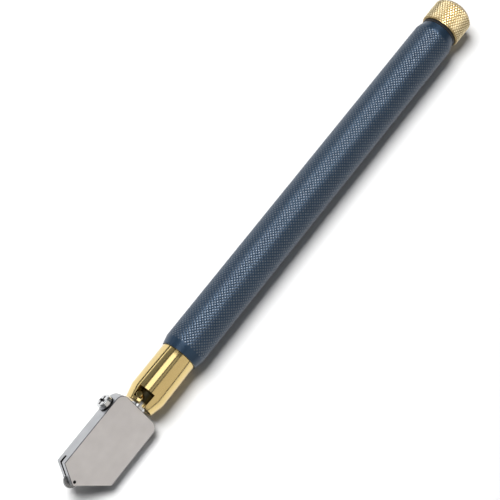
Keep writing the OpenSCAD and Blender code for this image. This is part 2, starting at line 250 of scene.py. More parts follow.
# %% Paper
paper_start = 0.15
paper_full = 0.42
paper_outline = [(paper_start, 0.0004), (2.2, 0.0004), (2.7, 0.15), (3.0, 0.6), (3.0, 2.4)]
paper_bm = bmesh.new()
paper_verts = [paper_bm.verts.new((r, 0, z)) for r, z in paper_outline]
paper_edges = [paper_bm.edges.new(pair) for pair in zip(paper_verts, paper_verts[1:])]
bmesh.ops.spin(
    paper_bm, geom=paper_verts + paper_edges, cent=(0, 0, 0), axis=(0, 0, 1), angle=math.tau,
    steps=64, use_merge=True
)
paper = show("paper", mesh_of("paper", paper_bm))
paper.visible_diffuse = False
paper.visible_glossy = False
paper.visible_transmission = False
paper.visible_shadow = False
paper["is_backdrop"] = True
print("paper:", len(paper.data.polygons), "faces")

# %% [markdown]
# Its material goes from clear to a white glow with the distance from the middle, and is left
# out of the renderer's list of lights.

# %% White paper
white_paper = bpy.data.materials.new("white_paper")
white_paper.use_nodes = True
white_paper.cycles.emission_sampling = "NONE"
paper_nodes = white_paper.node_tree.nodes
paper_nodes.remove(paper_nodes["Principled BSDF"])
place = add(white_paper, "ShaderNodeTexCoord").outputs["Object"]
away = add(white_paper, "ShaderNodeVectorMath", {0: place}, operation="LENGTH")
fade = add(
    white_paper, "ShaderNodeMapRange",
    {"Value": away.outputs["Value"], "From Min": paper_start, "From Max": paper_full},
    interpolation_type="SMOOTHSTEP"
)
clear = add(white_paper, "ShaderNodeBsdfTransparent").outputs[0]
glow = add(white_paper, "ShaderNodeEmission").outputs[0]
blend = add(white_paper, "ShaderNodeMixShader", {0: fade.outputs["Result"], 1: clear, 2: glow})
white_paper.node_tree.links.new(blend.outputs[0], paper_nodes["Material Output"].inputs["Surface"])
paper.data.materials.append(white_paper)
print("paper fades in from", paper_start, "to", paper_full, "m")

# %% [markdown]
# ## Studio light
#
# Polished brass shows its surroundings, so the studio is a dim room with bright panels in it.
# One large key panel stands high on the screw's side and throws the soft shadow to the other
# side. Its glare is kept out of the metal, and paler cards stand in for it there. The cards light
# nothing else, and draw the bands that run along every turned piece.


# %% A panel of light
tool_middle = Vector((0, 0, handle_r * MM))


def panel(name, place, width, length, glow, colour=(1, 1, 1), card=False):
    """An area light with its length along X. Its glow is what it shows in a mirror.
    A card stands only in reflections, as a sheet of paper would beside a turned piece."""
    light = bpy.data.lights.new(name, "AREA")
    light.shape = "RECTANGLE"
    light.size = length
    light.size_y = width
    light.energy = glow * math.pi * width * length
    light.color = colour
    holder = show(name, light)
    holder.visible_diffuse = not card
    back = (Vector(place) - tool_middle).normalized()
    side = along.cross(back).normalized()
    holder.matrix_world = placed(side.cross(back), side, back, place)
    return holder


print("panels face a point", handle_r, "mm above the floor")

# %% [markdown]
# Two panels are linked to the knurled pieces alone. Their facets point all ways, so they need a
# stronger light than the plain brass before they sparkle. The cap gets both, and the handle
# only the first.

# %% Lights
key = panel("key", (0.0, 0.35, 0.83), 0.42, 0.42, 19.0)
key.visible_glossy = False
panel("key_card", (0.0, 0.29, 0.86), 0.46, 1.0, 1.6, card=True)
crest_light = panel("crest_light", (0.50, 0.21, 0.80), 0.30, 0.5, 15.0, card=True)
knurled_pieces = bpy.data.collections.new("knurled_pieces")
crest_light.light_linking.receiver_collection = knurled_pieces
cap_light = panel("cap_light", (0.50, -0.02, 0.80), 0.26, 0.7, 15.5, card=True)
cap_pieces = bpy.data.collections.new("cap_pieces")
cap_light.light_linking.receiver_collection = cap_pieces
panel("middle_card", (0.0, -0.13, 0.92), 0.17, 1.0, 0.32, card=True)
panel("near_strip", (0.0, 0.60, 0.18), 0.08, 1.0, 1.3, card=True)
panel("left_card", (0.0, 0.62, 0.42), 0.34, 1.0, 0.12, card=True)
panel("right_card", (0.0, -0.55, 0.44), 0.88, 1.0, 0.62, (1.0, 0.94, 0.86), card=True)

# %% [markdown]
# The rest of the room is nearly dark and slightly blue. It only fills the shadows.

# %% Room
world = bpy.data.worlds.new("studio")
world.use_nodes = True
world.node_tree.nodes["Background"].inputs["Color"].default_value = (0.96, 0.98, 1.0, 1)
world.node_tree.nodes["Background"].inputs["Strength"].default_value = 0.12
bpy.context.scene.world = world
print("room:", world.name)

# %% [markdown]
# ## Modelling helpers
#
# Nearly every piece is turned on a lathe. Here too it starts as half an outline, which is spun
# round Z. The first and last point lie on the axis, or the outline closes on itself to make a
# ring. A full spin merges its last ring with its first.


# %% Turn
def arc(centre_r, centre_z, radius, start, end, steps=6):
    """Outline points along an arc, with its angles in degrees."""
    turns = [math.radians(start + (end - start) * i / steps) for i in range(steps + 1)]
    return [(centre_r + radius * math.cos(a), centre_z + radius * math.sin(a)) for a in turns]


def turned(outline, steps=96):
    """Spins an outline of (radius, height) points round Z. It closes on itself or on the axis."""
    bm = bmesh.new()
    verts = [bm.verts.new((r, 0, z)) for r, z in outline]
    edges = [bm.edges.new(pair) for pair in zip(verts, verts[1:])]
    if outline[0][0] > 0 or outline[-1][0] > 0:
        edges.append(bm.edges.new((verts[-1], verts[0])))
    bmesh.ops.spin(
        bm, geom=verts + edges, cent=(0, 0, 0), axis=(0, 0, 1), angle=math.tau, steps=steps,
        use_merge=True
    )
    bmesh.ops.remove_doubles(bm, verts=bm.verts, dist=1e-4)
    bmesh.ops.dissolve_degenerate(bm, edges=bm.edges, dist=1e-5)
    bmesh.ops.recalc_face_normals(bm, faces=bm.faces)
    return bm


print("a quarter arc of 4 steps has", len(arc(0, 0, 1, 0, 90, 4)), "points")

# %% [markdown]
# A real edge is never quite sharp, and it always catches a line of light. The bevel picks its
# edges by the angle between their two faces, so the rings along a curve are left alone.


# %% Soften
def soften(bm, width, segments=2, sharper_than=32, where=lambda edge: True):
    """Bevels the edges that are sharper than an angle in degrees."""
    limit = math.radians(sharper_than)
    sharp = [e for e in bm.edges if e.is_manifold and e.calc_face_angle(0) > limit and where(e)]
    if sharp:
        bmesh.ops.bevel(
            bm, geom=sharp, offset=width, offset_type="OFFSET", affect="EDGES", segments=segments,
            profile=0.5, material=-1, clamp_overlap=True
        )
    return bm


print("edges over 32 degrees are broken")

# %% [markdown]
# Windows, slots and holes are milled or drilled after turning. The Boolean modifier does that
# well, as long as every cutter runs a little past the surface that it cuts. The result is read
# at once, and the helping objects are thrown away.


# %% Carve
def carve(bm, *cutters):
    """Cuts the cutters out of a solid and returns the result. All are used up."""
    shapes = [show("shape", mesh_of("shape", part)) for part in (bm, *cutters)]
    for cutter in shapes[1:]:
        cut = shapes[0].modifiers.new("cut", "BOOLEAN")
        cut.operation = "DIFFERENCE"
        cut.solver = "EXACT"
        cut.object = cutter
    bpy.context.view_layer.update()
    result = bmesh.new()
    result.from_mesh(shapes[0].evaluated_get(bpy.context.evaluated_depsgraph_get()).data)
    for shape in shapes:
        mesh = shape.data
        bpy.data.objects.remove(shape)
        bpy.data.meshes.remove(mesh)
    bmesh.ops.remove_doubles(result, verts=result.verts, dist=1e-4)
    return result


print("cuts are exact")

# %% [markdown]
# The cutters are blocks, rods and plates. A plate is one flat face that is drawn in front view
# and pushed through to the back. The same helper makes the head itself.


# %% Blocks, rods and plates
def block(low, high):
    """A box between two corners."""
    bm = bmesh.new()
    size = Vector(high) - Vector(low)
    middle = (Vector(high) + Vector(low)) / 2
    bmesh.ops.create_cube(bm, size=1, matrix=Matrix.Diagonal((*size, 1)))
    bmesh.ops.translate(bm, verts=bm.verts, vec=middle)
    return bm


def rod(radius, length, matrix):
    """A rod from the origin up Z, moved by a matrix."""
    bm = bmesh.new()
    bmesh.ops.create_cone(
        bm, cap_ends=True, segments=48, radius1=radius, radius2=radius, depth=length,
        matrix=matrix @ Matrix.Translation((0, 0, length / 2))
    )
    return bm


def pushed(points, way):
    """One flat face through the points, extruded along a vector."""
    bm = bmesh.new()
    face = bm.faces.new([bm.verts.new(point) for point in points])
    grown = bmesh.ops.extrude_face_region(bm, geom=[face])["geom"]
    far_side = [g for g in grown if isinstance(g, bmesh.types.BMVert)]
    bmesh.ops.translate(bm, verts=far_side, vec=way)
    bmesh.ops.recalc_face_normals(bm, faces=bm.faces)
    return bm


def plate(points, half_t):
    """A front view of (x, height) points, pushed from the front to the back."""
    return pushed([(x, -half_t, z) for x, z in points], (0, 2 * half_t, 0))


print("cutters: block, rod, plate")

# %% [markdown]
# Every finished mesh goes the same way: it is laid down, shaded smooth except at sharp edges, given its
# finish, and attached to the body that carries it, while the solid of the frame that it stands for is
# hidden.


# %% Add a piece
def moved(bm, matrix):
    """The same mesh, moved by a matrix."""
    bmesh.ops.transform(bm, matrix=matrix, verts=bm.verts)
    return bm


def joined(*parts):
    """One mesh that holds several shells."""
    whole = bmesh.new()
    for part in parts:
        mesh = mesh_of("part", part)
        whole.from_mesh(mesh)
        bpy.data.meshes.remove(mesh)
    return whole


def add_piece(name, bm, body, material, node, smooth=32):
    """Lays a finished mesh down, gives it its finish, attaches it to its body and hides the CAD node it
    stands for.
    """
    moved(bm, LAY)
    bmesh.ops.recalc_face_normals(bm, faces=bm.faces)
    mesh = mesh_of(name, bm, material)
    mesh.shade_smooth()
    mesh.set_sharp_from_angle(angle=math.radians(smooth))
    piece = show(name, mesh)
    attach(piece, body)
    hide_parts(node)
    print(name, "faces", len(mesh.polygons))
    return piece


print("the cap's end lies at x =", round((LAY @ Vector((0, 0, tool_length))).x / MM, 2), "mm")

# %% [markdown]
# ## Threads and springs
#
# A thread is one ridge that climbs round a core, and a spring is one wire that climbs round
# nothing. The spin operator makes both when each step also moves up a little. The section goes
# round and up, and its two ends are closed.


# %% Helix
def helix(section, turns, pitch, steps_per_turn=32):
    """Spins a closed section of (radius, height) points round Z while it climbs."""
    bm = bmesh.new()
    verts = [bm.verts.new((r, 0, z)) for r, z in section]
    edges = [bm.edges.new(pair) for pair in zip(verts, verts[1:] + verts[:1])]
    steps = round(turns * steps_per_turn)
    bmesh.ops.spin(
        bm, geom=verts + edges, cent=(0, 0, 0), axis=(0, 0, 1), angle=math.tau * turns,
        dvec=(0, 0, pitch * turns / steps), steps=steps, use_merge=False
    )
    bmesh.ops.holes_fill(bm, edges=[e for e in bm.edges if e.is_boundary], sides=len(section))
    bmesh.ops.recalc_face_normals(bm, faces=bm.faces)
    return bm


def thread(crest_r, depth, pitch, z0, z1):
    """The climbing ridge of an outside thread between two heights."""
    half = pitch * 0.42
    flat = pitch * 0.06
    root = crest_r - depth - 0.05
    crest = [(crest_r, z0 + half - flat), (crest_r, z0 + half + flat)]
    section = [(root, z0)] + crest + [(root, z0 + 2 * half)]
    return helix(section, (z1 - z0 - 2 * half) / pitch, pitch)


thread_pitch = 0.75
print("the tube's threads climb", thread_pitch, "mm a turn")

# %% [markdown]
# ## Wear and grain
#
# Wear, tarnish and grain are noise in millimetres. The object's own coordinates are used, so
# the marks stay on a piece when it moves. Turned pieces carry rings round the tool: noise that
# is very fine along X and coarse across it.


# %% Noise, ramps and mixes
def noise(material, per_mm, detail=3.0):
    """Noise with so many features a millimetre along X, Y and Z."""
    place = add(material, "ShaderNodeTexCoord").outputs["Object"]
    scale = tuple(1000.0 * f for f in per_mm)
    sized = add(material, "ShaderNodeMapping", {"Vector": place, "Scale": scale})
    texture = add(
        material, "ShaderNodeTexNoise",
        {"Vector": sized.outputs["Vector"], "Scale": 1.0, "Detail": detail, "Roughness": 0.6}
    )
    return texture.outputs["Fac"]


def ramp(material, value, from_low, from_high, to_low, to_high):
    """A value carried from one range to another, and held at its ends."""
    sockets = {"Value": value, "From Min": from_low, "From Max": from_high}
    sockets |= {"To Min": to_low, "To Max": to_high}
    return add(material, "ShaderNodeMapRange", sockets).outputs["Result"]


def mix(material, factor, first, second):
    """A colour between two others. Each is a linear colour or another mix."""
    made = add(material, "ShaderNodeMix", data_type="RGBA")
    material.node_tree.links.new(factor, made.inputs["Factor"])
    for socket, value in ((made.inputs[6], first), (made.inputs[7], second)):
        if isinstance(value, bpy.types.NodeSocket):
            material.node_tree.links.new(value, socket)
        else:
            socket.default_value = (*value, 1)
    return made.outputs[2]


def even_noise(material, per_mm, detail=3.0):
    """Noise with the same number of features a millimetre all ways."""
    return noise(material, (per_mm, per_mm, per_mm), detail)


def uneven(material, per_mm, low, high):
    """Roughness that wanders between two values."""
    wire(material, ramp(material, even_noise(material, per_mm), 0.3, 0.7, low, high), "Roughness")


def bump(material, height, depth_mm, strength=1.0):
    """Raises the surface by a height between 0 and 1, times a depth."""
    sockets = {"Height": height, "Distance": depth_mm * MM, "Strength": strength}
    wire(material, add(material, "ShaderNodeBump", sockets).outputs["Normal"], "Normal")


print("helpers for wear and grain ready")

# %% [markdown]
# Two finishes need to know where on the tool they are. Crests get their wear and painted glints by their
# distance from the axis, and the spindle's painted shade starts at a height along it.


# %% Places on the tool
def axis_distance(material):
    """Distance from the tool's axis in millimetres, for wear and painted glints on the crests."""
    place = add(material, "ShaderNodeTexCoord").outputs["Object"]
    sockets = {"Vector": place, "Location": (0, 0, -handle_r), "Scale": (0, 1000.0, 1000.0)}
    centred = add(material, "ShaderNodeMapping", sockets)
    length = add(material, "ShaderNodeVectorMath", {0: centred.outputs["Vector"]}, operation="LENGTH")
    return length.outputs["Value"]


def along_tool(material):
    """Height up the tool in millimetres, from the object's coordinates."""
    place = add(material, "ShaderNodeTexCoord").outputs["Object"]
    sockets = {"Vector": place, "Location": (tool_length / 2, 0, 0), "Scale": (1000.0,) * 3}
    upwards = add(material, "ShaderNodeMapping", sockets)
    split = add(material, "ShaderNodeSeparateXYZ", {"Vector": upwards.outputs["Vector"]})
    return split.outputs["X"]


print("crests stand", round(handle_r, 2), "mm from the axis")

# %% [markdown]
# ## Lacquer
#
# The handle is lacquered slate blue. Its crests rub against fingers and pockets, so the colour thins there,
# and their paler colour is partly painted glints as well. The mask is the distance from the tool's axis,
# broken up by noise.

# %% Lacquer
lacquer = finish("slate_blue_lacquer", (0.022, 0.052, 0.095), 0.3, metallic=0.55, coat=0.12)
cloud = noise(lacquer, (0.12, 0.25, 0.25), 4.0)
depth = ramp(lacquer, axis_distance(lacquer), handle_r - 0.08, handle_r - 0.01, 0.0, 1.0)
broken = ramp(lacquer, even_noise(lacquer, 1.6), 0.35, 0.7, 0.35, 1.0)
# Pale crests: partly real wear, partly painted glints.
worn_and_glint = add(lacquer, "ShaderNodeMath", {0: depth, 1: broken}, operation="MULTIPLY").outputs["Value"]
base = mix(lacquer, cloud, (0.014, 0.034, 0.067), (0.023, 0.053, 0.094))
wire(lacquer, mix(lacquer, worn_and_glint, base, (0.16, 0.18, 0.205)), "Base Color")
uneven(lacquer, 4, 0.30, 0.42)
bump(lacquer, even_noise(lacquer, 9), 0.006, 0.5)
print("lacquer nodes:", len(lacquer.node_tree.nodes))

# %% [markdown]
# ## Brass
#
# The ferrule is brass, turned and buffed, so it has faint rings and a sharp reflection, and its
# colour shifts a little where it has tarnished.

# %% Polished brass
polished_brass = finish("polished_brass", (0.78, 0.53, 0.19), 0.12, metallic=1.0)
tarnish = noise(polished_brass, (0.10, 0.35, 0.35), 4.0)
wire(polished_brass, mix(polished_brass, tarnish, (0.68, 0.51, 0.21), (0.82, 0.64, 0.30)), "Base Color")
smears = ramp(polished_brass, even_noise(polished_brass, 1.5), 0.3, 0.75, 0.08, 0.2)
wire(polished_brass, smears, "Roughness")
bump(polished_brass, noise(polished_brass, (14, 0.25, 0.25), 2.0), 0.0022, 0.6)
print("polished brass nodes:", len(polished_brass.node_tree.nodes))

# %% [markdown]
# The cap is knurled brass with a satin surface. Its roots are darker, partly old dirt and partly painted
# shade, and its crests are paler, partly rubbed bright and partly painted highlight, so its colour runs with
# the distance from the axis.

# %% Satin brass
satin_brass = finish("satin_brass", (0.70, 0.49, 0.20), 0.34, metallic=0.85)
# Dark roots are partly dirt and partly painted shade; pale crests are partly rubbed brass and partly painted
# highlight.
crest = ramp(satin_brass, axis_distance(satin_brass), handle_r - 0.17, handle_r - 0.01, 0.0, 1.0)
dull_dirt_and_shade = mix(satin_brass, noise(satin_brass, (0.4, 0.6, 0.6), 4.0), (0.27, 0.19, 0.08), (0.50, 0.38, 0.19))
wire(satin_brass, mix(satin_brass, crest, dull_dirt_and_shade, (0.95, 0.83, 0.54)), "Base Color")
uneven(satin_brass, 3, 0.30, 0.44)
bump(satin_brass, noise(satin_brass, (10, 3, 3)), 0.004, 0.6)
print("satin brass nodes:", len(satin_brass.node_tree.nodes))

# %% [markdown]
# The brass parts inside are never polished. The studs are painted darker still on their ends, as painted
# shade in the window's pocket.

# %% Plain brass, and painted shade for the studs
plain_brass = finish("plain_brass", (0.60, 0.42, 0.17), 0.3, metallic=1.0)
aged = even_noise(plain_brass, 0.5, 4.0)
wire(plain_brass, mix(plain_brass, aged, (0.46, 0.32, 0.12), (0.68, 0.50, 0.22)), "Base Color")
uneven(plain_brass, 2, 0.2, 0.38)
bump(plain_brass, noise(plain_brass, (12, 0.4, 0.4), 2.0), 0.003, 0.6)

# The stud ends are painted near black as painted shade.
stud_brass = finish("stud_brass", (0.30, 0.23, 0.09), 0.3, metallic=1.0)
shade_mottle = even_noise(stud_brass, 1.2, 4.0)
wire(stud_brass, mix(stud_brass, shade_mottle, (0.07, 0.055, 0.02), (0.18, 0.14, 0.05)), "Base Color")
wire(stud_brass, ramp(stud_brass, shade_mottle, 0.3, 0.7, 0.24, 0.42), "Roughness")
bump(stud_brass, even_noise(stud_brass, 8), 0.003, 0.6)
print("plain brass nodes:", len(plain_brass.node_tree.nodes))

# %% [markdown]
# ## Steel
#
# All the steels are the same recipe with other numbers: two greys in a slow noise, a roughness
# that wanders, and a fine grain. The grain tells how a piece was made. Blasting leaves even
# specks, and turning or grinding leaves lines.


# %% Steel
def steel(name, dark, light, rough_low, rough_high, grain, grain_mm, metallic=1.0):
    """Bare steel: two greys in a slow noise, uneven roughness, and a fine grain."""
    metal = finish(name, light, rough_low, metallic=metallic)
    wire(metal, mix(metal, even_noise(metal, 0.3, 4.0), dark, light), "Base Color")
    uneven(metal, 1.2, rough_low, rough_high)
    bump(metal, noise(metal, grain, 2.0), grain_mm, 0.7)
    return metal


blasted = steel(
    "blasted_steel", (0.63, 0.605, 0.6), (0.8, 0.775, 0.77), 0.46, 0.58, (11, 11, 11), 0.008, 0.75
)
ground_steel = steel(
    "ground_steel", (0.40, 0.41, 0.43), (0.56, 0.57, 0.59), 0.4, 0.52, (0.6, 9, 9), 0.006, 0.75
)
# The next two near blacks are painted shade: the first on the head's broken edges and in the screw's recess,
# the second in the head's slot and axle hole. The second also colours the washer.
painted_shade_edge_steel = steel("painted_shade_edge_steel", (0.10, 0.10, 0.105), (0.20, 0.20, 0.21), 0.3, 0.5, (9, 9, 9), 0.004)
black_steel_and_painted_shade = steel("black_steel_and_painted_shade", (0.018, 0.018, 0.02), (0.05, 0.05, 0.055), 0.35, 0.5, (10, 10, 10), 0.005)
print("steel nodes:", len(blasted.node_tree.nodes))

# %% [markdown]
# The screw is bright, the washers are turned, the spring is drawn wire, and the wheel is a grey
# hard metal.

# %% Steel for the small pieces
bright_steel = steel("bright_steel", (0.62, 0.63, 0.64), (0.80, 0.81, 0.82), 0.14, 0.26, (12, 12, 3), 0.002)
plain_steel = steel("plain_steel", (0.50, 0.51, 0.52), (0.66, 0.67, 0.68), 0.18, 0.3, (16, 0.3, 0.3), 0.0025)
spring_steel = steel("spring_steel", (0.30, 0.31, 0.33), (0.48, 0.49, 0.51), 0.28, 0.42, (10, 10, 10), 0.003)
# The axle is coloured nearly black as painted shade in its hole.
axle_steel = steel("axle_steel", (0.02, 0.02, 0.022), (0.05, 0.05, 0.055), 0.3, 0.5, (12, 12, 12), 0.004)
hard_metal = steel("hard_metal", (0.12, 0.125, 0.13), (0.34, 0.35, 0.36), 0.2, 0.34, (9, 9, 9), 0.003)
print("materials so far:", len(bpy.data.materials))

# %% [markdown]
# The spindle is bright in the open, and painted near black inside the ferrule, as painted shade where the
# ferrule hides it. The painted shade starts just inside the nose, so its mask is a place along the tool.

# %% Painted shade in the ferrule
ferrule_shade_steel = finish("ferrule_shade_steel", (0.66, 0.67, 0.68), 0.16, metallic=1.0)
shade_start_z = heights("ferrule")[0] + 0.5
shade_in_ferrule = ramp(ferrule_shade_steel, along_tool(ferrule_shade_steel), shade_start_z, shade_start_z + 0.8, 0.0, 1.0)
patchy = mix(ferrule_shade_steel, noise(ferrule_shade_steel, (0.5, 1, 1), 4.0), (0.55, 0.56, 0.57), (0.74, 0.75, 0.76))
# Inside the ferrule the spindle is painted near black as painted shade.
wire(ferrule_shade_steel, mix(ferrule_shade_steel, shade_in_ferrule, patchy, (0.055, 0.05, 0.03)), "Base Color")
wire(ferrule_shade_steel, ramp(ferrule_shade_steel, shade_in_ferrule, 0.0, 1.0, 0.18, 0.42), "Roughness")
bump(ferrule_shade_steel, noise(ferrule_shade_steel, (16, 0.3, 0.3), 2.0), 0.0025, 0.7)
print("the film starts", round(shade_start_z, 2), "mm up the tool")

# %% [markdown]
# ## Rubber and cotton
#
# The gasket and the seals are moulded rubber: nearly black, matt, with a fine pebble. The wick
# is unbleached cotton, brown where it has drunk oil.


# %% Rubber and cotton
def rubber(name, dark, light, grain_mm):
    """Two near blacks, uneven and matt, with a pebble of some depth."""
    skin = finish(name, dark, 0.6)
    wire(skin, mix(skin, even_noise(skin, 0.8, 4.0), dark, light), "Base Color")
    uneven(skin, 3, 0.5, 0.72)
    bump(skin, even_noise(skin, 8), grain_mm, 0.8)
    return skin


gasket_rubber = rubber("gasket_rubber", (0.006, 0.006, 0.007), (0.02, 0.02, 0.022), 0.012)
seal_rubber = rubber("seal_rubber", (0.01, 0.01, 0.011), (0.03, 0.03, 0.03), 0.008)

cotton = finish("wick_cotton", (0.62, 0.56, 0.42), 0.9)
soaked = noise(cotton, (0.5, 2, 2), 4.0)
wire(cotton, mix(cotton, soaked, (0.42, 0.35, 0.22), (0.70, 0.64, 0.50)), "Base Color")
uneven(cotton, 6, 0.8, 0.95)
bump(cotton, noise(cotton, (3, 14, 14)), 0.03, 0.9)
print("materials in all:", len(bpy.data.materials))

# %% [markdown]
# ## The knurled handle
#
# A diamond knurl is rolled in by two wheels whose ridges climb in opposite ways. Its grooves
# cross in a lattice and leave a small pyramid in every diamond. On a grid of half pitches, the
# crossings and the peaks take turns like the squares of a chessboard. So every second point is
# pressed down to the root, and each square is split along its groove. The peaks are then beveled
# to small flats, because a rolled knurl never comes to a point.


# %% Knurl
def knurled(z0, z1, around, pitch, root_r, crest_r, limit, flat, peak_r):
    """A knurled wall between two heights, open at both ends. Its peaks are cut to flat crests."""
    half_steps = 2 * around
    rows = 2 * round((z1 - z0) / pitch)
    bm = bmesh.new()
    bmesh.ops.create_grid(bm, x_segments=half_steps, y_segments=rows, size=1)
    peaks = set()
    for v in bm.verts:
        i = round((v.co.x + 1) / 2 * half_steps)
        j = round((v.co.y + 1) / 2 * rows)
        peak = (i + j) % 2 == 1
        z = z0 + (z1 - z0) * j / rows
        r = min(peak_r if peak else root_r, limit(z))
        turn = math.tau * i / half_steps
        v.co = (r * math.cos(turn), r * math.sin(turn), z)
        if peak:
            peaks.add(v)
    bmesh.ops.connect_verts(bm, verts=[v for v in bm.verts if v not in peaks])
    bmesh.ops.remove_doubles(bm, verts=bm.verts, dist=1e-4)
    bmesh.ops.bevel(
        bm, geom=[v for v in bm.verts if not v.is_boundary and v in peaks], offset=flat,
        offset_type="OFFSET", affect="VERTICES", segments=1, profile=0.5, material=-1,
        clamp_overlap=True
    )
    for v in bm.verts:
        out = v.co.xy.length
        if out > crest_r:
            v.co.xy = v.co.xy * (crest_r / out)
    return bm


print("a knurl of 34 diamonds has", 2 * 34, "points round it")

# %% [markdown]
# The knurled wall is open at both ends. Its rims are extruded on, ring by ring, over the end
# faces and into the bore.


# %% Carry a rim on
def carry_on(bm, height, rings):
    """Carries the open rim at a height on through rings of (radius, height)."""
    rim = [e for e in bm.edges if e.is_boundary and all(abs(v.co.z - height) < 1e-3 for v in e.verts)]
    for r, z in rings:
        made = bmesh.ops.extrude_edge_only(bm, edges=rim)["geom"]
        for v in [g for g in made if isinstance(g, bmesh.types.BMVert)]:
            flat_way = Vector((v.co.x, v.co.y, 0)).normalized()
            v.co = flat_way * r + Vector((0, 0, z))
        rim = [g for g in made if isinstance(g, bmesh.types.BMEdge) and g.is_boundary]
    return rim


print("rims are carried on from their edges")

# %% [markdown]
# The handle is a tube, and its bore holds the oil. Both ends were chamfered after the knurl was
# rolled, so the chamfer's radius is the limit of crests and grooves alike.


# %% Handle
handle_z0, handle_z1 = heights("handle_tube")
bore_r = outer_radius("cap_gasket") - 0.9
bore_chamfer = 0.15
low_depth = 0.6
low_length = 2.6
high_depth = 0.75
high_length = 2.7


def handle_limit(z):
    """Radius of the two turned chamfers."""
    low = handle_r - low_depth + low_depth * (z - handle_z0) / low_length
    high = handle_r - high_depth + high_depth * (handle_z1 - z) / high_length
    return min(low, high)


handle_bm = knurled(
    handle_z0, handle_z1, around=34, pitch=1.08, root_r=handle_r - 0.11, crest_r=handle_r,
    limit=handle_limit, flat=0.17, peak_r=handle_r + 0.03
)
mouth_r = bore_r + bore_chamfer
low_rings = [(mouth_r, handle_z0), (bore_r, handle_z0 + bore_chamfer)]
high_rings = [(mouth_r, handle_z1), (bore_r, handle_z1 - bore_chamfer)]
rim_low = carry_on(handle_bm, handle_z0, low_rings)
rim_high = carry_on(handle_bm, handle_z1, high_rings)
bmesh.ops.bridge_loops(handle_bm, edges=rim_low + rim_high)
handle = add_piece("knurled_handle", handle_bm, "handle", lacquer, "handle_tube", smooth=24)
knurled_pieces.objects.link(handle)

# %% [markdown]
# ## Cap
#
# The cap closes the oil tank. Its knurl is finer round the cap and longer along it, and a wide
# chamfer leads to a flat turned top.


# %% Knurled shell of the cap
gasket_z0, cap_z0 = heights("cap_gasket")
cap_low, cap_top = heights("fill_cap")
cap_chamfer = 1.4
cap_rim = 0.3


def cap_limit(z):
    """Radius of the cap's small rim chamfer and of the wide one at its top."""
    return min(handle_r - cap_rim + (z - cap_z0), handle_r - cap_chamfer + (cap_top - z))


cap_bm = knurled(
    cap_z0, cap_top, around=44, pitch=1.5, root_r=handle_r - 0.2, crest_r=handle_r,
    limit=cap_limit, flat=0.14, peak_r=handle_r + 0.08
)
carry_on(cap_bm, cap_z0, [(4.2, cap_z0), (0, cap_z0)])
carry_on(cap_bm, cap_top, [(handle_r - cap_chamfer - 0.12, cap_top), (2.0, cap_top), (0, cap_top)])
bmesh.ops.remove_doubles(cap_bm, verts=cap_bm.verts, dist=1e-4)
print("cap shell faces:", len(cap_bm.faces))

# %% [markdown]
# Below the shell stands the plug with its thread. It shows when the cap is unscrewed, so it is
# a turned core with a ridge that climbs round it.

# %% Cap
plug_r = bore_r - 0.05
core_r = plug_r - 0.4
core_top = cap_z0 + 0.1
core = turned([(0, cap_low), (core_r, cap_low), (core_r, core_top), (0, core_top)], 48)
ridge = thread(plug_r, 0.36, thread_pitch, cap_low + 0.3, cap_z0 - 0.2)
cap_bm = joined(cap_bm, soften(core, 0.2), ridge)
cap = add_piece("knurled_cap", cap_bm, "cap", satin_brass, "fill_cap", smooth=24)
knurled_pieces.objects.link(cap)
cap_pieces.objects.link(cap)

# %% [markdown]
# The gasket is a cut ring of rubber whose edges have rounded with use.

# %% Gasket
gasket_r = outer_radius("cap_gasket")
ring_outline = [(bore_r, gasket_z0), (gasket_r, gasket_z0), (gasket_r, cap_z0), (bore_r, cap_z0)]
gasket_bm = soften(turned(ring_outline), 0.24, 4)
add_piece("cap_gasket_ring", gasket_bm, "gasket", gasket_rubber, "cap_gasket", smooth=50)

# %% [markdown]
# ## Ferrule and its bayonet windows
#
# The ferrule is turned from brass bar: a slim cone at the nose, a plain barrel, a groove for
# its seal and a thread that holds it in the tube. It is bored through for the spindle and wider
# above that for the seal, the spring and the valve.

# %% Turn the ferrule
nose_z, ferrule_top = heights("ferrule")
ferrule_r = outer_radius("ferrule")
nose_r = ferrule_r - 0.95
cone_top = nose_z + 3.7
spindle_r = 2.1
stud_z = nose_z + 1.9
slot_top = stud_z + 2.1
chamber_z = slot_top + 2.2
seat_z = heights("valve_seat")[0]
thread_z = handle_z0 + 1.6
hole_r = spindle_r + 0.04
groove_r = 3.85
thread_root_r = 4.0
valve_r = 3.2
spring_chamber_r = 3.0
ferrule_bm = turned([
    (hole_r, nose_z), (nose_r, nose_z), (ferrule_r, cone_top), (ferrule_r, handle_z0),
    (groove_r, handle_z0), (groove_r, thread_z), (thread_root_r, thread_z + 0.15),
    (thread_root_r, ferrule_top), (valve_r, ferrule_top), (valve_r, seat_z),
    (spring_chamber_r, seat_z), (spring_chamber_r, chamber_z), (hole_r, chamber_z)
])
print("turned ferrule faces:", len(ferrule_bm.faces))

# %% [markdown]
# The bayonet slot is milled from both sides: a way in from the nose, a way across, and a pocket
# that the stud drops into. Straight ways are blocks that are turned to their angle. The way
# across goes round the barrel, so its cutter is a fan-shaped wedge.


# %% Cutters of the bayonet
cutter_r = 6


def radial_block(width, z0, z1, angle):
    """A block from the axis outwards, turned from the front face towards the screw's side."""
    bm = block((-width / 2, -cutter_r, z0), (width / 2, 0, z1))
    return moved(bm, Matrix.Rotation(-math.radians(angle), 4, "Z"))


def wedge(angle_0, angle_1, z0, z1, side):
    """A slice between two angles and two heights, drawn as a fan and pushed up."""
    fan = [(0, 0, z0)]
    for i in range(9):
        a = math.radians(angle_0 + (angle_1 - angle_0) * i / 8 + side)
        fan.append((-cutter_r * math.sin(a), -cutter_r * math.cos(a), z0))
    return pushed(fan, (0, 0, z1 - z0))


stud_angle = 50.5
entry_angle = 19.5
print("the head turns", stud_angle - entry_angle, "degrees to come out")

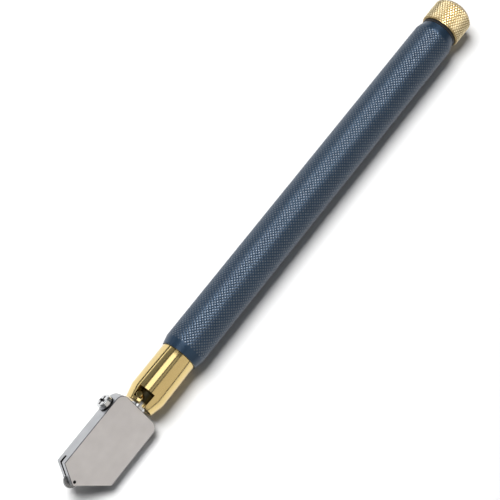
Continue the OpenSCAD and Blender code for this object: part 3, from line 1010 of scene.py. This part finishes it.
# %% [markdown]
# Both halves of the slot are the same, half a turn apart. After milling, the sharp outer edges
# of the barrel are broken, but not those inside the bore, which nobody sees.

# %% Mill the ferrule
cutters = []
for side in (0, 180):
    cutters.append(radial_block(2.53, nose_z + 0.96, slot_top, stud_angle + side))
    cutters.append(radial_block(1.88, nose_z - 0.5, slot_top - 0.025, entry_angle + side))
    cutters.append(wedge(stud_angle, entry_angle, nose_z + 1.5, stud_z + 0.9, side))
    cutters.append(wedge(stud_angle, entry_angle - 10.5, stud_z + 0.85, slot_top - 0.05, side))
ferrule_bm = carve(ferrule_bm, *cutters)


def outside(edge):
    """True for an edge on the barrel's outside, below the handle."""
    return all(v.co.z < handle_z0 + 0.01 and v.co.xy.length > 3.0 for v in edge.verts)


soften(ferrule_bm, 0.09, 2, 40, outside)
ferrule_thread = thread(4.45, 0.42, thread_pitch, thread_z + 0.3, ferrule_top - 0.2)
ferrule_bm = joined(ferrule_bm, ferrule_thread)
add_piece("brass_ferrule", ferrule_bm, "handle", polished_brass, "ferrule", smooth=30)

# %% [markdown]
# ## Studs
#
# Two short studs stand out of the spindle. Each lies in its pocket and shows in the window as a small button
# with a rounded rim, whose end is painted dark as painted shade in the pocket.

# %% Studs
stud_r = 0.9
stud_start = 1.1
stud_end = 4.69
stud_round = 0.22
shells = []
for side in (0, 180):
    outline = [(0, stud_start), (stud_r, stud_start)]
    outline += arc(stud_r - stud_round, stud_end - stud_round, stud_round, 0, 90, 4)
    outline.append((0, stud_end))
    stud = turned(outline, 40)
    # Each stud's end face takes the painted shade finish.
    for face in stud.faces:
        if face.calc_center_median().z > stud_end - 0.01:
            face.material_index = 1
    around_axis = Matrix.Rotation(math.radians(side - stud_angle), 4, "Z")
    point_out = around_axis @ Matrix.Rotation(math.pi / 2, 4, "X")
    shells.append(moved(stud, Matrix.Translation((0, 0, stud_z)) @ point_out))
studs = add_piece("brass_studs", joined(*shells), "head", polished_brass, "bayonet_studs")
studs.data.materials.append(stud_brass)

# %% [markdown]
# ## Spindle
#
# The spindle joins the head to the handle. It is ground steel with a collar under the spring,
# a stem that carries the valve, and a blind hole for the wick.

# %% Spindle
spindle_z0, stem_top = heights("spindle")
collar_top = heights("thrust_washer")[0]
collar_low = collar_top - 1
neck_top = collar_top + 3.4
collar_r = 2.8
neck_r = 1.6
stem_r = 0.9
wick_hole_r = 0.7
wick_hole_top = collar_top + 2
spindle_bm = turned([
    (wick_hole_r, spindle_z0), (spindle_r - 0.2, spindle_z0), (spindle_r, spindle_z0 + 0.2),
    (spindle_r, collar_low), (collar_r, collar_low), (collar_r, collar_top), (neck_r, collar_top),
    (neck_r, neck_top), (stem_r, neck_top), (stem_r, stem_top - 0.15), (stem_r - 0.15, stem_top),
    (0, stem_top), (0, wick_hole_top), (wick_hole_r, wick_hole_top)
], 64)
spindle_bm = soften(spindle_bm, 0.05)
add_piece("ground_spindle", spindle_bm, "head", ferrule_shade_steel, "spindle")

# %% [markdown]
# ## Spring
#
# The spring is wound wire. When the head is pressed its lower end moves up, and its upper end
# stands still against the valve seat.

# %% Spring
spring_z0, spring_z1 = heights("return_spring")
spring_length = spring_z1 - spring_z0
coils = 6
coil_r = 2.25
wire_r = 0.25
spring_section = arc(coil_r, spring_z0 + wire_r, wire_r, 0, 324, 9)
spring_bm = helix(spring_section, coils, (spring_length - 2 * wire_r) / coils, 36)
spring = add_piece(
    "wound_spring", spring_bm, "handle", spring_steel, "return_spring", smooth=50
)
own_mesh(spring)

# %% [markdown]
# ## Wick
#
# The wick is three strands of cotton twisted together. Each strand is a helix that leans on its
# neighbours, and the other two are turned copies of the first.

# %% Wick
wick_z0, wick_z1 = heights("wick")
twists = 10
strand_r = 0.26
strand_lift = strand_r + 0.01
strand_rise = (wick_z1 - wick_z0 - 2 * strand_lift) / twists
strands = []
for k in range(3):
    strand = helix(arc(0.22, wick_z0 + strand_lift, strand_r, 0, 315, 7), twists, strand_rise, 20)
    strands.append(moved(strand, Matrix.Rotation(math.tau * k / 3, 4, "Z")))
add_piece("twisted_wick", joined(*strands), "head", cotton, "wick", smooth=60)

# %% [markdown]
# ## The head
#
# The head is a flat steel block with round shoulders. Its lower edges run down to a tip that
# stands off the middle. Its outline is all arcs and straight lines, so one flat face is drawn
# and extruded. The tip is a small circle, and each lower edge is the line from a corner that
# just touches it.


# %% Outline of the head
head_side = 7.35
head_y = 2.3
wheel_x = -1.8
axle_z = 2.1
tip = Vector((-1.5, 1.8))
tip_r = 0.7
shoulder_z = heights("head_body")[1]
shoulder_r = 2.4
screw_corner = Vector((-head_side, 3.9))
far_corner = Vector((head_side, 7.75))


def tangent_angle(corner, way):
    """Angle on the tip's circle where a line from a corner touches it, in degrees."""
    line = corner - tip
    return math.degrees(math.atan2(line.y, line.x) + way * math.acos(tip_r / line.length))


first_angle = tangent_angle(screw_corner, 1) - 360
last_angle = tangent_angle(far_corner, -1)
shoulder_x = head_side - shoulder_r
shoulder_low = shoulder_z - shoulder_r
head_outline = arc(tip.x, tip.y, tip_r, first_angle, last_angle, 10)
head_outline.append(tuple(far_corner))
head_outline += arc(shoulder_x, shoulder_low, shoulder_r, 0, 90, 12)
head_outline += arc(-shoulder_x, shoulder_low, shoulder_r, 90, 180, 12)
head_outline.append(tuple(screw_corner))
head_bm = soften(plate(head_outline, head_y), 0.16, 3, 60)
print("head outline points:", len(head_outline))

# %% [markdown]
# The wheel runs in a slot that is sawn in from the screw's side and ends in a round well. The
# other cuts are drilled: the spindle's hole, the oil way down to the wheel, the axle's hole and
# the screw's hole.

# %% Saw and drill the head
TO_SCREW = Matrix.Rotation(-math.pi / 2, 4, "Y")
TO_BACK = Matrix.Rotation(-math.pi / 2, 4, "X")
WHEEL_PLACE = Matrix.Translation((wheel_x, 0, axle_z)) @ TO_BACK
screw_z = shoulder_z - 4.7
slot_half = 0.51
slot_start = -7.85
well = arc(wheel_x, axle_z, 2.45, 90, -90, 24)
slot_outline = [(slot_start, 6.1)] + well + [(wheel_x, 0.4), (slot_start, 0.4)]
head_bm = carve(
    head_bm,
    plate(slot_outline, slot_half),
    rod(spindle_r, 12, Matrix.Translation((0, 0, spindle_z0))),
    rod(0.6, 12, Matrix.Translation((0, 0, 4.6))),
    rod(0.42, 8, Matrix.Translation((wheel_x, -4, axle_z)) @ TO_BACK),
    rod(1.3, 9, Matrix.Translation((0, 0, screw_z)) @ TO_SCREW),
)
print("head faces after cutting:", len(head_bm.faces))

# %% [markdown]
# Only edges at the outside are broken: those near the two faces, at the top and on the screw's side. The two
# faces were blasted with fine beads and the rim was ground. The broken edge between them is painted as a
# thin dark line of painted shade, and the slot and the axle's hole are painted dark as painted shade. So
# each face of the mesh gets its finish by where it lies.


# %% Finish the head
def open_edge(edge):
    """True for an edge that shows on the outside of the head."""
    return all(abs(v.co.y) > 2.2 or v.co.z > 27.4 or v.co.x < -7.3 for v in edge.verts)


def head_finish(face):
    """0 blasted, 1 broken edge painted as a dark line of shade, 2 slot and hole in painted shade, 3 ground
    rim.
    """
    middle = face.calc_center_median()
    facing = abs(face.normal.y)
    if abs(middle.y) > 2.12 and 0.2 < facing < 0.97:
        return 1
    if abs(middle.y) < slot_half + 0.01 and middle.z < 6.2:
        return 2
    if (middle.xz - Vector((wheel_x, axle_z))).length < 0.5 and facing < 0.5:
        return 2
    return 3 if facing < 0.2 else 0


soften(head_bm, 0.06, 2, 50, open_edge)
for face in head_bm.faces:
    face.material_index = head_finish(face)
head = add_piece("blasted_head", head_bm, "head", blasted, "head_body", smooth=12)
head.data.materials.append(painted_shade_edge_steel)
head.data.materials.append(black_steel_and_painted_shade)
head.data.materials.append(ground_steel)

# %% [markdown]
# ## Clamp screw and washer
#
# The screw holds the spindle in the head. It has a pan head with a cross recess, and a thread that reaches
# the spindle's flat. Its head is turned, and two crossed blocks cut the recess, which is painted dark as
# painted shade.

# %% Screw's head
seat_x = -head_side
washer_t = 0.55
screw_r = 2.1
screw_h = 1.45
pan_round = 0.5
cross_low = screw_h - 0.75
cross_top = screw_h + 0.5
cross_reach = 1.35
cross_half = 0.35
ON_SCREW = Matrix.Translation((seat_x - washer_t, 0, screw_z)) @ TO_SCREW
outline = [(0, 0), (screw_r - 0.08, 0), (screw_r, 0.08)]
outline += arc(screw_r - pan_round, screw_h - pan_round, pan_round, 0, 80, 6)
outline.append((0, screw_h))
pan = carve(
    turned(outline, 64),
    block((-cross_reach, -cross_half, cross_low), (cross_reach, cross_half, cross_top)),
    block((-cross_half, -cross_reach, cross_low), (cross_half, cross_reach, cross_top)),
)
soften(pan, 0.05, 2, 45, lambda e: all(v.co.z > screw_h - 0.2 for v in e.verts))
# The recess's walls and floor are painted dark, as painted shade.
for face in pan.faces:
    middle = face.calc_center_median()
    if 0.5 < middle.z < screw_h - 0.06 and middle.xy.length < cross_reach + 0.01:
        face.material_index = 1
print("screw head faces:", len(pan.faces))

# %% [markdown]
# The shank goes the other way, into the head, so its heights are below zero. Then the whole
# screw is turned to the side and moved to its seat.

# %% Screw
shank_length = seat_x - washer_t + 1.8
core_r = 1.02
core = turned([(0, shank_length), (core_r, shank_length), (core_r, 0.05), (0, 0.05)], 40)
shank_ridge = thread(1.25, 0.22, 0.45, shank_length + 0.2, -0.1)
screw_bm = moved(joined(pan, core, shank_ridge), ON_SCREW)
screw = add_piece("cross_screw", screw_bm, "head", bright_steel, "head_screw", smooth=30)
screw.data.materials.append(painted_shade_edge_steel)

# %% [markdown]
# The washer is a plain ring coloured nearly black, and its rounded rims catch the light.

# %% Washer
washer_bm = soften(turned([(1.3, 0), (2.2, 0), (2.2, washer_t), (1.3, washer_t)], 64), 0.1, 3)
moved(washer_bm, Matrix.Translation((seat_x, 0, screw_z)) @ TO_SCREW)
add_piece("dark_washer", washer_bm, "head", black_steel_and_painted_shade, "screw_washer", smooth=40)

# %% [markdown]
# ## Wheel
#
# The wheel is a disc of hard metal whose rim is ground to a blunt edge on both sides, seventy
# degrees from the middle plane. Its outline is turned upright and then tipped to the back.

# %% Wheel
wheel_r = 2.1
wheel_half = 0.45
wheel_hole = 0.46
hole_chamfer = 0.06
land_r = wheel_r - wheel_half / math.tan(math.radians(70))
wheel_bm = turned([
    (wheel_hole, -wheel_half + hole_chamfer), (wheel_hole + hole_chamfer, -wheel_half),
    (land_r, -wheel_half), (wheel_r, 0), (land_r, wheel_half),
    (wheel_hole + hole_chamfer, wheel_half), (wheel_hole, wheel_half - hole_chamfer)
])
moved(wheel_bm, WHEEL_PLACE)
add_piece("ground_wheel", wheel_bm, "wheel", hard_metal, "cutting_wheel", smooth=15)

# %% [markdown]
# ## Axle
#
# The wheel turns on a pin that is pressed through the head. It ends just below both faces, with rounded
# ends, and is coloured nearly black, as painted shade, so it shows there as a dark dot.

# %% Axle
axle_half = 1.95
end_round = 0.12
axle_outline = [(0, -axle_half)]
axle_outline += arc(0.30, -axle_half + end_round, end_round, -90, 0, 4)
axle_outline += arc(0.30, axle_half - end_round, end_round, 0, 90, 4)
axle_outline.append((0, axle_half))
axle_bm = moved(turned(axle_outline, 40), WHEEL_PLACE)
add_piece("wheel_pin", axle_bm, "head", axle_steel, "wheel_axle")

# %% [markdown]
# ## Pieces that stay as they are
#
# The small rings and bushes inside are already the right shape, so the frame's own solids stay
# and only their finish changes.

# %% Finish for the frame's own solids
kept = {
    "valve_seat": plain_brass,
    "guide_bush": plain_brass,
    "valve_nut": plain_brass,
    "thrust_washer": plain_steel,
    "valve_seal": seal_rubber,
    "spindle_seal": seal_rubber,
    "ferrule_seal": seal_rubber,
}
for name, material in kept.items():
    solid = frame["nodes"][name]
    for material_slot in solid.material_slots:
        material_slot.link = "OBJECT"
        material_slot.material = material
print("kept solids:", sorted(kept))

# %% Finish
bpy.context.view_layer.update()
dressed_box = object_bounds()
sizes = {
    "cad": [list(corner) for corner in cad_box],
    "visual": [list(corner) for corner in dressed_box],
}
for name, (low, high) in sizes.items():
    print(name, "size in mm:", [round((b - a) / MM, 2) for a, b in zip(low, high)])
